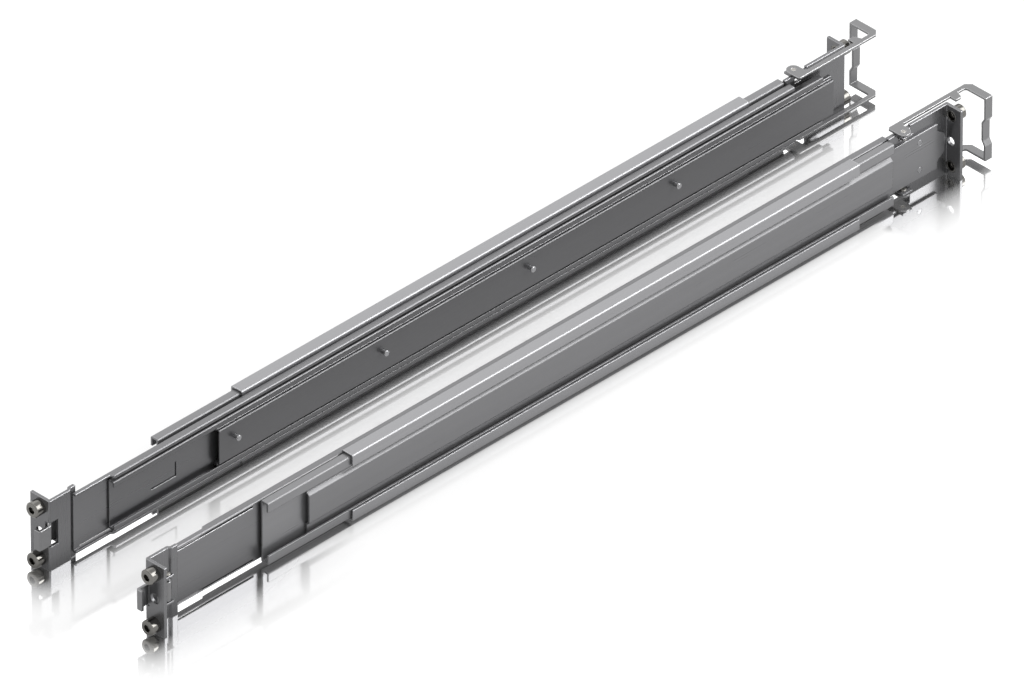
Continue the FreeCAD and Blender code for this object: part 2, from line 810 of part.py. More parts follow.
def bail_plan(with_tongue):
    """Plan outline of one strap of the rear latch, from its ear to the rear cross strap."""
    outer = get("strap_edge")
    inner = outer - get("strap_width")
    out = get("bail_pivot_out")
    back = bail_pivot_y
    ear = get("ear_size") / 2
    tongue = flange_back + get("tongue_gap")
    tongue_end = tongue + get("tongue_length")
    reach = get("tongue_reach")
    front = [
        (inner, back - 0.7 * ear), (inner + 1, back - ear), (out, back - ear), (out, back + ear),
        (outer + 1, back + ear), (outer, back + ear + 1.5),
    ]
    catch = [
        (outer, tongue), (reach, tongue), (reach, tongue_end - 1), (reach - 1, tongue_end),
        (outer, tongue_end + 1),
    ]
    rear = [
        (outer, loop_start - 1), (outer + 1, loop_start), (get("bail_reach"), loop_start),
        (get("bail_reach"), loop_end), (inner + 3, loop_end), (inner, loop_end - 3),
    ]
    return front + (catch if with_tongue else []) + rear


def rear_latch():
    """Rear latch: a bail of two straps, the upper with a catch tongue, joined by an upright bar."""
    body = new_body("rear_latch")
    thick = get("bail_wall")
    out = get("bail_pivot_out")
    for name, base in (("BailTop", bail_top - thick), ("BailLow", bail_low)):
        run_up(body, name, bail_plan(name == "BailTop"), base, base + thick)
        sketch = place_sketch(body, "XY_Plane", name + "Ear", (0, 0, base))
        add_circle(sketch, out, bail_pivot_y, get("ear_size"))
        pad(body, sketch, thick)
    reach = get("bail_reach")
    wave = get("bar_wave")
    half = 5.5
    bend = 3.0
    low = bail_low
    bar = [
        (reach - thick, low), (reach, low), (reach, mid - half - bend), (reach - wave, mid - half),
        (reach - wave, mid + half), (reach, mid + half + bend), (reach, bail_top),
        (reach - thick, bail_top), (reach - thick, mid + half + bend),
        (reach - wave - thick, mid + half), (reach - wave - thick, mid - half),
        (reach - thick, mid - half - bend),
    ]
    run_along_y(body, "BailBar", bar, loop_start, loop_end)
    bore = get("pivot_size") + 2 * get("pivot_play")
    hole_up(body, "BailBore", out, bail_pivot_y, bore, low - 1, bail_top + 1)
    return body


def rear_latch_pivots():
    """Two short pivot rivets, one for each ear of the rear latch."""
    body = new_body("rear_latch_pivots")
    r = get("pivot_size") / 2
    coil = 3 * get("coil_wire") + 0.2
    low_high = lug_low + get("lug_wall")
    out = get("bail_pivot_out")
    upper = [
        (0, lug_top - coil - 0.5), (r + 0.6, lug_top - coil - 0.5), (r + 0.6, lug_top - coil),
        (r, lug_top - coil), (r, bail_top), (0, bail_top),
    ]
    lower = [
        (0, bail_low), (r, bail_low), (r, low_high), (r + 0.6, low_high), (r + 0.6, low_high + 0.4),
        (0, low_high + 0.4),
    ]
    turn_along_z(body, "TopPivot", upper, out, bail_pivot_y)
    turn_along_z(body, "LowPivot", lower, out, bail_pivot_y)
    return body


def rear_latch_spring():
    """Close-wound torsion spring round the upper pivot, below the lug."""
    body = new_body("rear_latch_spring")
    wire = get("coil_wire")
    section = coil_section(get("pivot_size") / 2 + 0.15, wire, lug_top - 0.1 - 3 * wire, 3)
    turn_along_z(body, "BailCoil", section, get("bail_pivot_out"), bail_pivot_y)
    return body


def middle_rail():
    """Middle member of the ball slide, a lipped channel open inward."""
    body = new_body("middle_rail")
    thick = get("middle_wall")
    section = channel(middle_out, middle_tip, thick, middle_height, get("middle_lip"), -1)
    run = run_along_y(body, "MiddleSection", section, get("middle_start"), middle_end)
    corners = channel_corners(middle_out, middle_tip, middle_height)
    round_along(body, run, corners, "xz", get("middle_bend") * 0.6)
    start = get("lock_start")
    end = start + get("lock_length")
    slit = get("lock_slit")
    high = mid + 3
    low = high - get("lock_height")
    angle = [
        (start, low), (end, low), (end, high), (end - slit, high), (end - slit, low + slit),
        (start, low + slit),
    ]
    cut_across(body, "MiddleLockSlit", angle, middle_in - 1, middle_out + 1)
    return body


def inner_rail():
    """Inner member, which carries the server: a flat plate with a ball race along each edge."""
    body = new_body("inner_rail")
    thick = get("inner_wall")
    top = top_of(inner_height)
    low = bottom_of(inner_height)
    rise = get("race_rise")
    plate = inner_face + thick
    section = [
        (inner_face, low), (inner_race_in, low), (inner_race_in, low - rise), (inner_race_out, low - rise),
        (inner_race_out, low + thick), (plate, low + thick), (plate, top - thick),
        (inner_race_out, top - thick), (inner_race_out, top + rise), (inner_race_in, top + rise),
        (inner_race_in, top), (inner_face, top),
    ]
    run = run_along_y(body, "InnerSection", section, get("inner_start"), inner_end)
    round_along(body, run, [(inner_face, low), (inner_face, top)], "xz", 0.8 * thick)
    places = [(get("stud_start") + i * get("stud_step"), mid + get("stud_rise"))
              for i in range(int(SIZES["stud_count"]))]
    bore = get("stud_neck") + 2 * get("rivet_play")
    holes_across(body, "InnerStudHoles", places, bore, inner_face - 1, plate + 1)
    return body


def server_studs():
    """Shoulder studs on the inner rail that the server's key slots hang on."""
    body = new_body("server_studs")
    neck = get("stud_neck") / 2
    head = get("stud_size") / 2
    plate = inner_face + get("inner_wall")
    face = inner_face - get("stud_reach")
    thick = get("stud_head")
    section = [
        (plate, 0), (plate, neck), (face + thick, neck), (face + thick, head), (face + 0.3, head),
        (face, head - 0.3), (face, 0),
    ]
    turned = turn_along_x(body, "ServerStud", section, get("stud_start"), mid + get("stud_rise"))
    repeat(body, [turned], "Y_Axis", get("stud_step"), int(SIZES["stud_count"]))
    return body


# The two ball stages: the gap each runs in, across and in height, and where its cage starts
def outer_stage():
    lip_face = outer_tip + get("outer_wall")
    low = top_of(middle_height)
    high = top_of(outer_height) - get("outer_wall")
    return lip_face, outer_in, low, high, get("outer_cage_start")


def inner_stage():
    lip_face = middle_tip + get("middle_wall")
    low = top_of(inner_height) + get("race_rise")
    high = top_of(middle_height) - get("middle_wall")
    return lip_face, middle_in, low, high, get("inner_cage_start")


def cage(name, stage):
    """Two thin strips with a row of round pockets, one above and one below."""
    body = new_body(name)
    x0, x1, low, high, start = stage
    length = (SIZES["ball_count"] - 1) * get("ball_step") + 2 * get("cage_margin")
    centre = (low + high) / 2
    half = get("cage_wall") / 2
    play = 0.1
    strip = box(x0 + play, x1 - play, start, start + length)
    run_up(body, name + "Top", strip, centre - half, centre + half)
    mirrored = 2 * mid - centre
    run_up(body, name + "Low", strip, mirrored - half, mirrored + half)
    x = (x0 + x1) / 2
    sketch = place_sketch(body, "XY_Plane", name + "Pockets", (0, 0, mirrored - 1))
    for i in range(int(SIZES["ball_count"])):
        add_circle(sketch, x, start + get("cage_margin") + i * get("ball_step"), get("ball_size") + 0.1)
    pocket(body, sketch, centre - mirrored + 2, backwards=True)
    return body


def balls(name, stage):
    """The balls of one stage, in an upper and a lower row."""
    body = new_body(name)
    x0, x1, low, high, start = stage
    centre = (low + high) / 2
    x = (x0 + x1) / 2
    r = get("ball_size") / 2
    rows = []
    for label, z in (("Top", centre), ("Low", 2 * mid - centre)):
        sketch = place_sketch(body, "XZ_Plane", name + label, (x, z, -(start + get("cage_margin"))))
        size = number_of(r)
        arc = Part.ArcOfCircle(
            Part.Circle(FreeCAD.Vector(0, 0, 0), FreeCAD.Vector(0, 0, 1), size), -math.pi / 2, math.pi / 2
        )
        sketch.addGeometry(arc, False)
        line = Part.LineSegment(FreeCAD.Vector(0, size, 0), FreeCAD.Vector(0, -size, 0))
        sketch.addGeometry(line, False)
        sketch.addConstraint(Sketcher.Constraint("Coincident", 0, 3, -1, 1))
        sketch.addConstraint(Sketcher.Constraint("Coincident", 0, 2, 1, 1))
        sketch.addConstraint(Sketcher.Constraint("Coincident", 0, 1, 1, 2))
        sketch.addConstraint(Sketcher.Constraint("PointOnObject", 1, 1, -2))
        tie = sketch.addConstraint(Sketcher.Constraint("Radius", 0, size))
        bind(sketch, f"Constraints[{tie}]", r)
        feature = body.newObject("PartDesign::Revolution", name + label + "Ball")
        feature.Profile = sketch
        feature.ReferenceAxis = (sketch, ["V_Axis"])
        feature.Angle = 360.0
        rows.append(feature)
    repeat(body, rows, "Y_Axis", get("ball_step"), int(SIZES["ball_count"]))
    return body


def build_right_rail():
    """All the pieces of the right rail, each a body of its own."""
    return [
        outer_rail(), front_bracket(), front_pins(), front_latch(), front_latch_pivot(),
        front_latch_spring(), sleeve(), guide_channel(), rail_rivets(), rear_rail(), rear_bracket(),
        rear_pins(), rear_rivets(), rear_latch(), rear_latch_pivots(), rear_latch_spring(),
        middle_rail(), inner_rail(), server_studs(), cage("outer_cage", outer_stage()),
        balls("outer_balls", outer_stage()), cage("inner_cage", inner_stage()),
        balls("inner_balls", inner_stage()),
    ]


def mirror_left(body):
    """The left rail's piece, mirrored across the plane between the two rails."""
    twin = doc.addObject("Part::Mirroring", "left_" + body.Label)
    twin.Source = body
    twin.Normal = FreeCAD.Vector(1, 0, 0)
    twin.Base = FreeCAD.Vector(0, 0, 0)
    twin.Label = "left_" + body.Label
    return twin


right_pieces = build_right_rail()
doc.recompute()
pieces = []
for body in right_pieces:
    twin = mirror_left(body)
    body.Label = "right_" + body.Label
    pieces.extend([body, twin])
doc.recompute()

for item in doc.Objects:
    if "Invalid" in item.State or "Error" in item.State:
        raise RuntimeError(f"{item.Label} failed: {item.State}")
for piece in pieces:
    if piece.Shape.isNull() or not piece.Shape.isValid():
        raise RuntimeError(f"{piece.Label} has no valid shape")
for piece in pieces:
    piece.Shape.exportStep(f"parts/{piece.Label}.step")
print("pieces written:", len(pieces))
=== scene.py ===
"""Dresses the sliding server rail pair in zinc-plated steel and nickel, on a white studio floor."""

import math

import bpy
import numpy as np
from bpy.props import FloatProperty, FloatVectorProperty, IntProperty, PointerProperty
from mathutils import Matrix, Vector


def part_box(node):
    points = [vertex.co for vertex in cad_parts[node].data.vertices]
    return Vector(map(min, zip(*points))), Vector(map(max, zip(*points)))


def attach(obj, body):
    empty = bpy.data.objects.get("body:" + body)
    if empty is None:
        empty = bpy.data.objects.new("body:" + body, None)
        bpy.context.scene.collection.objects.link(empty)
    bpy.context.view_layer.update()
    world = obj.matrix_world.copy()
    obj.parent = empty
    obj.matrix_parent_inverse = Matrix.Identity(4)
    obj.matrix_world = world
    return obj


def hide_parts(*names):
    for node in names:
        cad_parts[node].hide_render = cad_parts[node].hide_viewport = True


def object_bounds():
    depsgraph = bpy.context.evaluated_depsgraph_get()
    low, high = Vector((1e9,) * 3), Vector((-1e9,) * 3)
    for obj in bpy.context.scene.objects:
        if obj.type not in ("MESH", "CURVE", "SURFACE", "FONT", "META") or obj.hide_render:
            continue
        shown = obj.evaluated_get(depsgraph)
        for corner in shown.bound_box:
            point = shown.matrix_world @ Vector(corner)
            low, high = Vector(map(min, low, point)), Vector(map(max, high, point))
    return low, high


bl_info = {
    "name": "Server rail dressing",
    "version": (1, 0, 0),
    "blender": (4, 5, 0),
    "location": "3D View > Sidebar > Server Rails",
    "description": "Finishes, spring wire and studio stage for a pair of sliding server rails",
    "category": "Object",
}

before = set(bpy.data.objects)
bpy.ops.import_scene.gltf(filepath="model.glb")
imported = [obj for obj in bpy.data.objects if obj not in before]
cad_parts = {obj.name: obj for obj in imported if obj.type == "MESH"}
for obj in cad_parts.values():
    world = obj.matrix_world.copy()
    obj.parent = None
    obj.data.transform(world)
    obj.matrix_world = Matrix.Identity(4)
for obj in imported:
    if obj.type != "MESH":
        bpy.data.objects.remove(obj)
cad_low, cad_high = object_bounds()

SIDES = ("right", "left")
MM = 0.001
UP = (0.0, 0.0, 1.0)

# Rolled steel: how many lines lie in a metre across and along the grain, and how strongly they show
FINE_ACROSS, FINE_ALONG = 1300.0, 6.0
WIDE_ACROSS, WIDE_ALONG = 260.0, 2.5
CLOUDS_A_METRE = 45.0
GRAIN_DETAIL, GRAIN_HARSHNESS = 3.0, 0.6
FINE_WEIGHT, WIDE_WEIGHT, CLOUD_WEIGHT = 2.0, 1.2, 0.16
DARK_STREAK, BRIGHT_STREAK = 0.78, 1.22
STREAK_ROUGHNESS = 0.5
LINE_STRENGTH, LINE_DEPTH = 0.10, 0.05 * MM

# Bends: smoother, with a painted highlight mostly where they face upward and well above the floor
BEND_RADIUS = 0.7 * MM
BEND_SAMPLES = 4
BEND_GAIN = 9.0
HIGHLIGHT_UPWARD, HIGHLIGHT_ANYWHERE = 1.1, 0.10
BEND_POLISH = 0.10
HIGHLIGHT_START_HEIGHT, HIGHLIGHT_RISE = 12.0 * MM, 10.0 * MM
SMOOTHEST, DULLEST = 0.08, 0.9

# How light each finish is, as a factor on the zinc or nickel colour, and the fixed colours
OUTER_SHADE = 0.82
GUIDE_SHADE = 0.95
SLEEVE_SHADE = 1.34
REAR_SHADE = 0.79
MIDDLE_SHADE = 0.70
INNER_SHADE = 0.62
STUD_SHADE = 1.6
CAGE_SHADE = 1.0
BRACKET_SHADE = 0.76
RIVET_SHADE = 1.1
PIVOT_SHADE = 1.6
PIN_ROUGHNESS = 0.16
CHROME = (0.65, 0.65, 0.66, 1.0)
SPRING_GREY = (0.16, 0.16, 0.165, 1.0)
# Painted shade for the roots of the rear pins' thread
THREAD_ROOT_SHADE = (0.012, 0.012, 0.012, 1.0)
WHITE = (1.0, 1.0, 1.0, 1.0)

# The thread at the mouth of the rear pins, and the points in one turn of spring wire
THREAD_PITCH = 0.7 * MM
THREAD_DEPTH = 2.8 * MM
COIL_POINTS = 28

# The floor's mirror image, strongest at the rails and weak beside the sleeves
MIRROR_NEAR, MIRROR_FAR = 0.88, 0.07
MIRROR_ROUGHNESS = 0.07
SLEEVE_LOSS = 0.92
SLEEVE_STEP = 0.5 * MM
SLEEVE_LEAD = 17.0 * MM
FRONT_RISE = 70.0 * MM
REAR_DROP = 8.0 * MM

# The floor's white, as a dull grey plus its own light, plain and with a painted shadow by the
# channels
PLAIN_GREY, PLAIN_GLOW = 0.50, 0.46
PAINTED_SHADOW_GREY, PAINTED_SHADOW_GLOW = 0.30, 0.253
PAINTED_SHADOW_WIDTH = 14.0 * MM

# Surroundings and lamps, and the camera's range as a share of its distance
SEEN_LEVEL = 1.0
LIGHT_LEVEL = 1.0
CLIP_NEAR, CLIP_FAR = 0.5, 4.0
TOP_LAMP_PLACE, TOP_LAMP_SIZE = (-0.85, 0.85, 0.95), 0.9
BEND_LAMP_PLACE, BEND_LAMP_SIZE = (1.04, 1.04, 1.03), 1.2


class Value:
    """A number socket. Each Python operator on it adds one Math node."""

    def __init__(self, board, socket):
        self.board = board
        self.socket = socket

    def _math(self, operation, first, second):
        node = self.board.node("ShaderNodeMath", {"operation": operation}, {0: first, 1: second})
        return Value(self.board, node.outputs[0])

    def __add__(self, other):
        return self._math("ADD", self, other)

    def __radd__(self, other):
        return self._math("ADD", other, self)

    def __sub__(self, other):
        return self._math("SUBTRACT", self, other)

    def __rsub__(self, other):
        return self._math("SUBTRACT", other, self)

    def __mul__(self, other):
        return self._math("MULTIPLY", self, other)

    def __rmul__(self, other):
        return self._math("MULTIPLY", other, self)

    def __pow__(self, other):
        return self._math("POWER", self, other)

    def at_most(self, other):
        return self._math("MINIMUM", self, other)

    def at_least(self, other):
        return self._math("MAXIMUM", self, other)

    def size(self):
        return self._math("ABSOLUTE", self, 0.0)

    def cosine(self):
        return self._math("COSINE", self, 0.0)

    def above(self, limit):
        return self._math("GREATER_THAN", self, limit)

    def clamped(self):
        return self.at_least(0.0).at_most(1.0)

    def ramp(self, start, width):
        """0 up to the start, 1 past the start plus the width, and a straight line between."""
        return ((self - start) * (1.0 / width)).clamped()

    def past(self, low, high):
        """How far the value lies outside a span, 0 inside it."""
        return ((self - (low + high) / 2.0).size() - (high - low) / 2.0).at_least(0.0)


class Board:
    """A node tree that is filled from Python."""

    def __init__(self, tree, keep=False):
        self.tree = tree
        if not keep:
            tree.nodes.clear()

    def node(self, kind, settings=None, inputs=None):
        """One node of a type, its settings made first, then its sockets given values or links."""
        made = self.tree.nodes.new(kind)
        for name, value in (settings or {}).items():
            setattr(made, name, value)
        for key, value in (inputs or {}).items():
            if isinstance(value, Value):
                self.tree.links.new(value.socket, made.inputs[key])
            elif isinstance(value, bpy.types.NodeSocket):
                self.tree.links.new(value, made.inputs[key])
            else:
                made.inputs[key].default_value = value
        return made

    def noise(self, place, scale=1.0, detail=2.0, roughness=0.5):
        inputs = {"Vector": place, "Scale": scale, "Detail": detail, "Roughness": roughness}
        return Value(self, self.node("ShaderNodeTexNoise", None, inputs).outputs["Fac"])

    def stretched(self, place, scale):
        """The place multiplied axis by axis, so that a pattern runs long in one direction."""
        settings = {"vector_type": "POINT"}
        inputs = {"Vector": place, "Scale": scale}
        return self.node("ShaderNodeMapping", settings, inputs).outputs["Vector"]

    def between(self, low, high, share):
        """A colour between two colours."""
        settings = {"data_type": "RGBA", "clamp_factor": True}
        mixed = self.node("ShaderNodeMix", settings, {0: share, 6: low, 7: high})
        return mixed.outputs[2]

    def dot(self, first, second):
        settings = {"operation": "DOT_PRODUCT"}
        made = self.node("ShaderNodeVectorMath", settings, {0: first, 1: second})
        return Value(self, made.outputs["Value"])


def shade_of(colour, factor):
    """The colour made lighter or darker, with full alpha."""
    return tuple(min(1.0, c * factor) for c in colour[:3]) + (1.0,)


def grain_scale(grain, across, along):
    """Scales for x, y and z that stretch a pattern along the grain's axis."""
    return tuple(along if axis == grain else across for axis in "xyz")


def steel(name, colour, roughness, grain="y", lines=0.19, highlight_gain=3.4, metallic=0.8):
    """Plated steel: fine lines along the grain, cloudy plating and smoother bends with a painted
    highlight.

    A bend is where the rounded normal leaves the true one. Its share is BEND_GAIN times 1 minus the
    cosine between the two, held between 0 and 1. There a painted highlight takes the colour towards
    the highlight factor times itself, strongest on upward bends well above the floor.
    """
    material = bpy.data.materials.new(name)
    material.use_nodes = True
    board = Board(material.node_tree)
    place = board.node("ShaderNodeTexCoord").outputs["Object"]
    fine_place = board.stretched(place, grain_scale(grain, FINE_ACROSS, FINE_ALONG))
    fine = board.noise(fine_place, 1.0, GRAIN_DETAIL, GRAIN_HARSHNESS)
    wide_place = board.stretched(place, grain_scale(grain, WIDE_ACROSS, WIDE_ALONG))
    wide = board.noise(wide_place)
    cloud = board.noise(place, CLOUDS_A_METRE, GRAIN_DETAIL, GRAIN_HARSHNESS)
    streak = (
        (fine - 0.5) * lines * FINE_WEIGHT
        + (wide - 0.5) * lines * WIDE_WEIGHT
        + (cloud - 0.5) * CLOUD_WEIGHT
    )
    dark, bright = shade_of(colour, DARK_STREAK), shade_of(colour, BRIGHT_STREAK)
    body = board.between(dark, bright, streak + 0.5)
    bevel = board.node("ShaderNodeBevel", {"samples": BEND_SAMPLES}, {"Radius": BEND_RADIUS})
    rounded = bevel.outputs["Normal"]
    true_normal = board.node("ShaderNodeNewGeometry").outputs["Normal"]
    bend = ((1.0 - board.dot(rounded, true_normal)) * BEND_GAIN).clamped()
    upward = board.dot(rounded, UP).at_least(0.0)
    parts = board.node("ShaderNodeSeparateXYZ", None, {"Vector": place})
    high = Value(board, parts.outputs["Z"]).ramp(HIGHLIGHT_START_HEIGHT, HIGHLIGHT_RISE)
    # Painted highlight: the colour of the bends is lightened, mostly where they face up and lie
    # high
    painted_highlight = bend * (upward * high * HIGHLIGHT_UPWARD + HIGHLIGHT_ANYWHERE)
    base = board.between(body, shade_of(colour, highlight_gain), painted_highlight)
    rough = streak * STREAK_ROUGHNESS + roughness - bend * BEND_POLISH
    rough = rough.at_least(SMOOTHEST).at_most(DULLEST)
    bump_inputs = {
        "Strength": LINE_STRENGTH, "Distance": LINE_DEPTH, "Height": fine, "Normal": rounded,
    }
    bump = board.node("ShaderNodeBump", None, bump_inputs).outputs["Normal"]
    inputs = {"Base Color": base, "Roughness": rough, "Metallic": metallic, "Normal": bump}
    shader = board.node("ShaderNodeBsdfPrincipled", None, inputs)
    board.node("ShaderNodeOutputMaterial", None, {"Surface": shader.outputs[0]})
    return material


def turned_steel(name, colour):
    """Smooth bare steel from the lathe."""
    # The pins' bends get a weaker painted highlight than the sheet's
    return steel(name, colour, PIN_ROUGHNESS, lines=0.04, highlight_gain=2.2, metallic=1.0)


def threaded_steel(name, colour, pitch, start, end):
    """Turned steel with a thread between two places along y, shown as painted shade in its roots.

    The shade's share at y is (0.5 + 0.5 * cos(2 pi y / pitch)) squared, 0 outside start to end.
    """
    material = turned_steel(name, colour)
    tree = material.node_tree
    board = Board(tree, keep=True)
    shader = next(node for node in tree.nodes if node.type == "BSDF_PRINCIPLED")
    plain = shader.inputs["Base Color"].links[0].from_socket
    place = board.node("ShaderNodeTexCoord").outputs["Object"]
    y = Value(board, board.node("ShaderNodeSeparateXYZ", None, {"Vector": place}).outputs["Y"])
    inside = y.above(start) * (1.0 - y.above(end))
    # Painted shade in the thread's roots; the crests keep the plain colour
    root_shade = ((y * (2.0 * math.pi / pitch)).cosine() * 0.5 + 0.5) ** 2.0 * inside
    tree.links.new(board.between(plain, THREAD_ROOT_SHADE, root_shade), shader.inputs["Base Color"])
    return material


def dress(nodes, material):
    """Puts one material in every slot of the named nodes, on both rails."""
    for side in SIDES:
        for name in nodes:
            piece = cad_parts[f"{side}_{name}"]
            for slot in piece.material_slots:
                slot.material = material


def settings_of(context):
    return context.scene.server_rails


def wire_along(centre, radius, sides=8):
    """A round wire on a smooth line.

    With t the line's direction and z up, n = z x t and c = t x n, each ring is
    p + radius * (cos(u) * n + sin(u) * c) for u from 0 to 2 pi. Both ends are closed with a fan.
    """
    tangent = np.gradient(centre, axis=0)
    tangent /= np.linalg.norm(tangent, axis=1)[:, None]
    side = np.cross(np.array(UP), tangent)
    side /= np.linalg.norm(side, axis=1)[:, None]
    up = np.cross(tangent, side)
    u = np.linspace(0.0, 2.0 * math.pi, sides, endpoint=False)
    across, upright = np.cos(u)[None, :, None], np.sin(u)[None, :, None]
    ring = radius * (across * side[:, None] + upright * up[:, None])
    points = (centre[:, None] + ring).reshape(-1, 3)
    count = len(centre)
    i, j = np.meshgrid(np.arange(count - 1), np.arange(sides), indexing="ij")
    k = (j + 1) % sides
    this, following = i * sides, (i + 1) * sides
    quads = np.stack([this + j, this + k, following + k, following + j], axis=-1)
    points = np.vstack([points, centre[:1], centre[-1:]])
    around = np.arange(sides)
    after = (around + 1) % sides
    first = np.stack([np.full(sides, count * sides), after, around], axis=-1)
    base = (count - 1) * sides
    last = np.stack([np.full(sides, count * sides + 1), base + around, base + after], axis=-1)
    return points, quads.reshape(-1, 4).tolist() + np.vstack([first, last]).tolist()


def coil_line(low, high, wire, turns):
    """A helix inside a node's box. Its angle and its height rise evenly, by one wire a turn."""
    centre = (low + high) / 2.0
    radius = (high[0] - low[0]) / 2.0 - wire / 2.0
    t = np.linspace(0.0, 1.0, turns * COIL_POINTS)
    angle = 2.0 * math.pi * turns * t
    height = low[2] + wire / 2.0 + (high[2] - low[2] - wire) * t
    x = centre[0] + radius * np.cos(angle)
    y = centre[1] + radius * np.sin(angle)
    return np.stack([x, y, height], axis=-1)


class ServerRailSettings(bpy.types.PropertyGroup):
    """Finishes and stage sizes that a user would change."""

    zinc: FloatVectorProperty(
        name="Zinc", description="Colour of the plated sheet", subtype="COLOR", size=3,
        min=0.0, max=1.0, default=(0.200, 0.200, 0.206),
    )
    latch_zinc: FloatVectorProperty(
        name="Latch zinc", description="Colour of the lighter latches", subtype="COLOR", size=3,
        min=0.0, max=1.0, default=(0.185, 0.185, 0.188),
    )
    nickel: FloatVectorProperty(
        name="Nickel", description="Colour of the turned pins", subtype="COLOR", size=3,
        min=0.0, max=1.0, default=(0.17, 0.165, 0.155),
    )
    sheet_roughness: FloatProperty(
        name="Sheet roughness", description="How dull the sheet is", default=0.31, min=0.0, max=1.0,
        subtype="FACTOR",
    )
    coil_turns: IntProperty(
        name="Coil turns", description="Turns in each latch spring", default=4, min=2, max=12,
    )
    floor_size: FloatProperty(
        name="Floor size", description="Side of the square floor", default=60.0, min=1.0,
        subtype="DISTANCE", unit="LENGTH",
    )
    mirror_fade: FloatProperty(
        name="Mirror fade", description="Distance over which the floor's mirror image fades",
        default=0.035, min=0.001, subtype="DISTANCE", unit="LENGTH",
    )
    azimuth: FloatProperty(
        name="Camera azimuth", description="Camera direction round the rails",
        default=math.radians(45.0), subtype="ANGLE",
    )
    elevation: FloatProperty(
        name="Camera elevation", description="Camera height above the horizon",
        default=math.radians(35.0), subtype="ANGLE",
    )
    lens: FloatProperty(
        name="Lens", description="Focal length of the long camera lens in millimetres",
        default=1150.0, min=10.0,
    )
    view_width: FloatProperty(
        name="View width", description="Width of the picture at the rails' middle", default=0.5293,
        min=0.01, subtype="DISTANCE", unit="LENGTH",
    )
    aim: FloatVectorProperty(
        name="Aim", description="Point that the camera looks at", size=3, subtype="TRANSLATION",
        default=(0.00065, 0.00065, 0.00945),
    )
    top_power: FloatProperty(
        name="Top power", description="Power of the lamp behind the left rail in watts",
        default=1.8, min=0.0,
    )
    bend_power: FloatProperty(
        name="Bend power", description="Power of the lamp that lights the bends in watts",
        default=23.0, min=0.0,
    )


class SERVERRAIL_OT_channels(bpy.types.Operator):
    """Zinc-plated sheet with rolling lines on the channels and the rear rail"""

    bl_idname = "serverrail.channels"
    bl_label = "Channels"

    def execute(self, context):
        chosen = settings_of(context)
        zinc, rough = chosen.zinc, chosen.sheet_roughness
        guide, rear = shade_of(zinc, GUIDE_SHADE), shade_of(zinc, REAR_SHADE)
        dress(["outer_rail"], steel("outer_zinc", shade_of(zinc, OUTER_SHADE), rough))
        # The guide's bends get a weaker painted highlight than the other sheet's
        dress(["guide_channel"], steel("guide_zinc", guide, rough, highlight_gain=2.4, metallic=0.6))
        dress(["sleeve"], steel("sleeve_zinc", shade_of(zinc, SLEEVE_SHADE), rough))
        dress(["rear_rail"], steel("rear_zinc", rear, rough + 0.02, metallic=0.6))
        return {"FINISHED"}


class SERVERRAIL_OT_slides(bpy.types.Operator):
    """Middle and inner members, the studs, and the cages and balls between them"""

    bl_idname = "serverrail.slides"
    bl_label = "Ball slides"

    def execute(self, context):
        chosen = settings_of(context)
        zinc, rough = chosen.zinc, chosen.sheet_roughness
        stud = shade_of(zinc, STUD_SHADE)
        cage = steel("cage_zinc", shade_of(zinc, CAGE_SHADE), roughness=0.3)
        dress(["middle_rail"], steel("middle_zinc", shade_of(zinc, MIDDLE_SHADE), rough))
        dress(["inner_rail"], steel("inner_zinc", shade_of(zinc, INNER_SHADE), rough + 0.02))
        dress(["server_studs"], steel("stud_zinc", stud, roughness=0.2, grain="x", lines=0.05))
        dress(["outer_cage", "inner_cage"], cage)
        # The balls' highlight factor of 1 leaves no painted highlight on them
        chrome = steel("ball_chrome", CHROME, roughness=0.08, lines=0.01, highlight_gain=1.0)
        dress(["outer_balls", "inner_balls"], chrome)
        return {"FINISHED"}


class SERVERRAIL_OT_brackets(bpy.types.Operator):
    """Brackets with an upright grain, their rivets and locating pins"""

    bl_idname = "serverrail.brackets"
    bl_label = "Brackets and pins"

    def execute(self, context):
        chosen = settings_of(context)
        zinc, rough = chosen.zinc, chosen.sheet_roughness
        upright = shade_of(zinc, BRACKET_SHADE)
        bracket = steel("bracket_zinc", upright, rough - 0.03, grain="z", lines=0.12)
        rivets = steel("rivet_zinc", shade_of(zinc, RIVET_SHADE), rough, lines=0.03)
        dress(["front_bracket", "rear_bracket"], bracket)
        dress(["rail_rivets", "rear_rivets"], rivets)
        nickel = shade_of(chosen.nickel, 1.0)
        dress(["front_pins"], turned_steel("pin_nickel", nickel))
        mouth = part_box("right_rear_pins")[0][1]
        end = mouth + THREAD_DEPTH
        dress(["rear_pins"], threaded_steel("thread_nickel", nickel, THREAD_PITCH, mouth, end))
        return {"FINISHED"}


